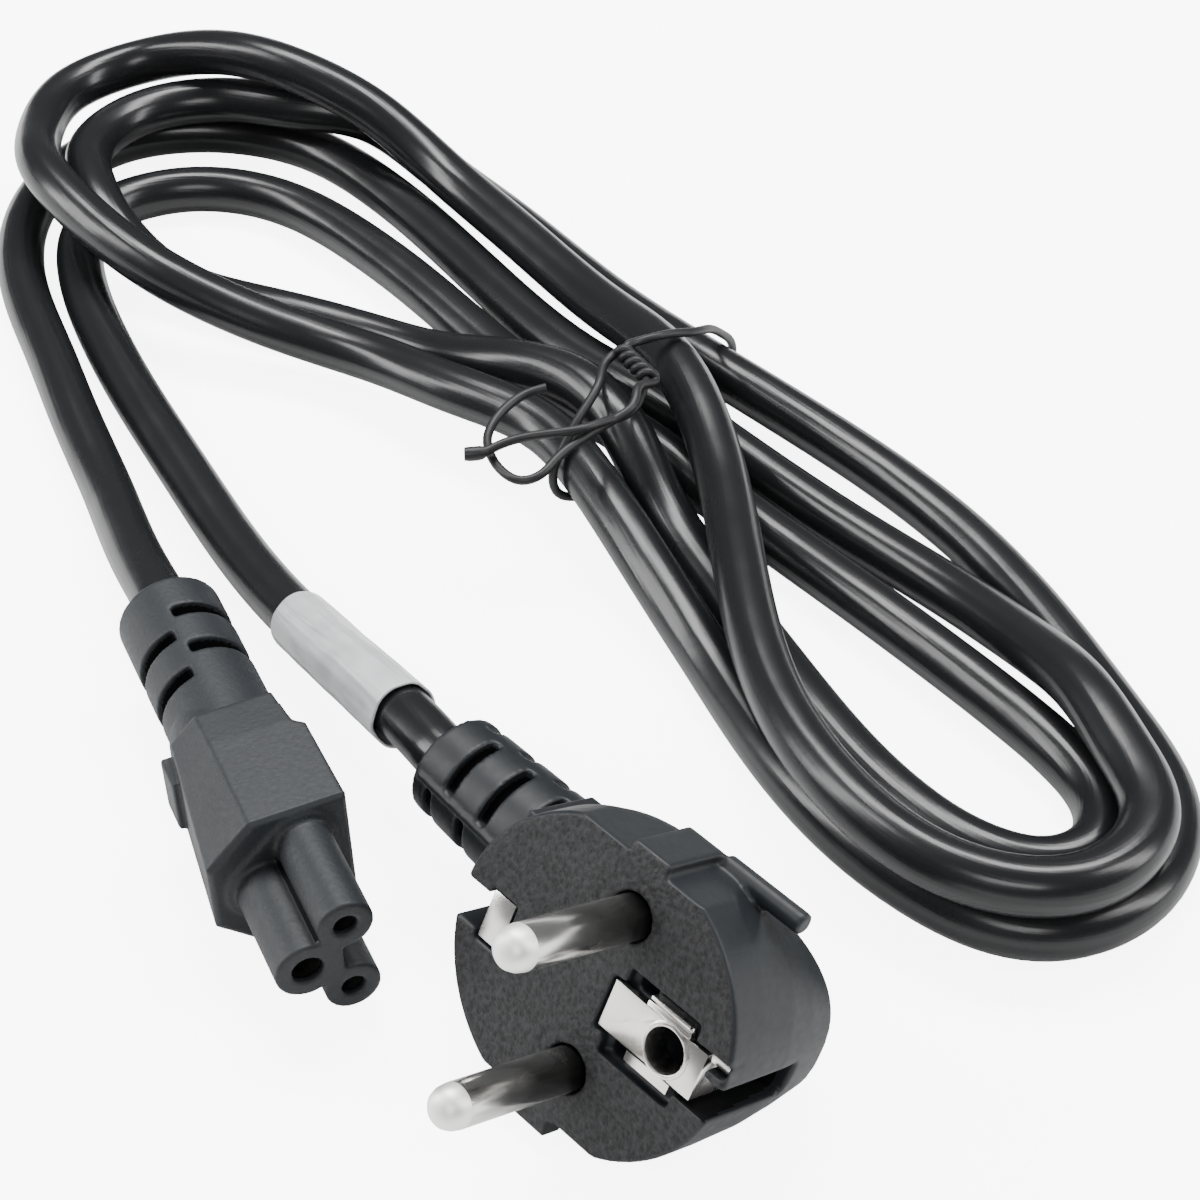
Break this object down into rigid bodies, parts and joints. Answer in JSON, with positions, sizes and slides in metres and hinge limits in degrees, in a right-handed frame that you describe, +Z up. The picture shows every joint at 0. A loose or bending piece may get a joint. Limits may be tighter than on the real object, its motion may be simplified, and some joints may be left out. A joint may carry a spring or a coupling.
{
  "type": "power cord",
  "caption": "Black mains power cord: angled round two-pin plug with side earth contacts, cloverleaf appliance connector, folded in a hank with a wire tie and a clear label sleeve",
  "frame": {"origin": "On the table, under the middle of the box round the plug and the connector", "axes": "+Z is up from the table. +Y runs from the plug and connector towards the hank's far loops, and the camera of the picture looks along it. +X is to the right."},
  "size_m": [0.1573, 0.2096, 0.0364],
  "materials": {
    "cord": "smooth, slightly glossy",
    "black_plastic": "satin with a fine grain",
    "nickel": "bright nickel plate",
    "frosted_sleeve": "frosted, translucent",
    "tie": "matte coating on wire"
  },
  "bodies": {
    "root": {"cord": "cord", "connector_body": "black_plastic", "connector_contact_line": "nickel", "connector_contact_neutral": "nickel", "connector_contact_earth": "nickel", "plug_body": "black_plastic", "plug_pin_line": "nickel", "plug_pin_neutral": "nickel", "plug_earth_plate": "nickel", "plug_earth_clip": "nickel", "label_sleeve": "frosted_sleeve", "wire_tie": "tie"}
  },
  "joints": []
}
